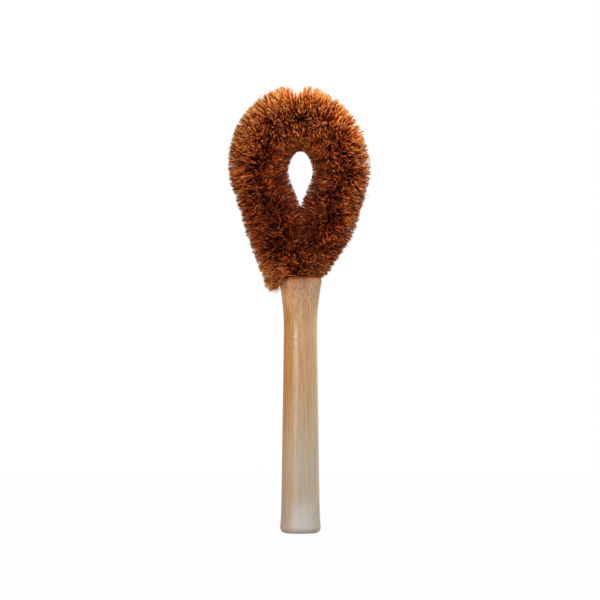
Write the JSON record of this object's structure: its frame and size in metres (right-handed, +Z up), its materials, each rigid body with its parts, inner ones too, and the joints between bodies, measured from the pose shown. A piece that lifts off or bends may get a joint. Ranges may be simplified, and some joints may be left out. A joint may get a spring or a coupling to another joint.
{
  "type": "dish brush",
  "caption": "Loop-headed dish brush: coconut fibre gripped in a twisted wire core, bent to a teardrop loop and set in a turned wooden handle.",
  "frame": {"origin": "centre of the handle's flat butt face", "axes": "+Z up along the handle's axis to the loop, X across the loop in its plane, Y through the loop; the picture looks along +Y"},
  "size_m": [0.0769, 0.0356, 0.24],
  "materials": {
    "lacquered_wood": "satin",
    "coir": "matte",
    "galvanised_wire": "satin",
    "glue": "gloss"
  },
  "bodies": {
    "root": {"coir_crown_01": "coir", "coir_crown_02": "coir", "coir_crown_03": "coir", "coir_crown_04": "coir", "coir_crown_05": "coir", "coir_crown_06": "coir", "coir_leg_left_01": "coir", "coir_leg_left_02": "coir", "coir_leg_left_03": "coir", "coir_leg_left_04": "coir", "coir_leg_left_05": "coir", "coir_leg_left_06": "coir", "coir_leg_left_07": "coir", "coir_leg_right_01": "coir", "coir_leg_right_02": "coir", "coir_leg_right_03": "coir", "coir_leg_right_04": "coir", "coir_leg_right_05": "coir", "coir_leg_right_06": "coir", "coir_leg_right_07": "coir", "coir_side_left_01": "coir", "coir_side_left_02": "coir", "coir_side_left_03": "coir", "coir_side_left_04": "coir", "coir_side_right_01": "coir", "coir_side_right_02": "coir", "coir_side_right_03": "coir", "coir_side_right_04": "coir", "coir_skirt_left": "coir", "coir_skirt_right": "coir", "core_wire_back": "galvanised_wire", "core_wire_front": "galvanised_wire", "handle": "lacquered_wood", "socket_glue": "glue"}
  },
  "joints": []
}
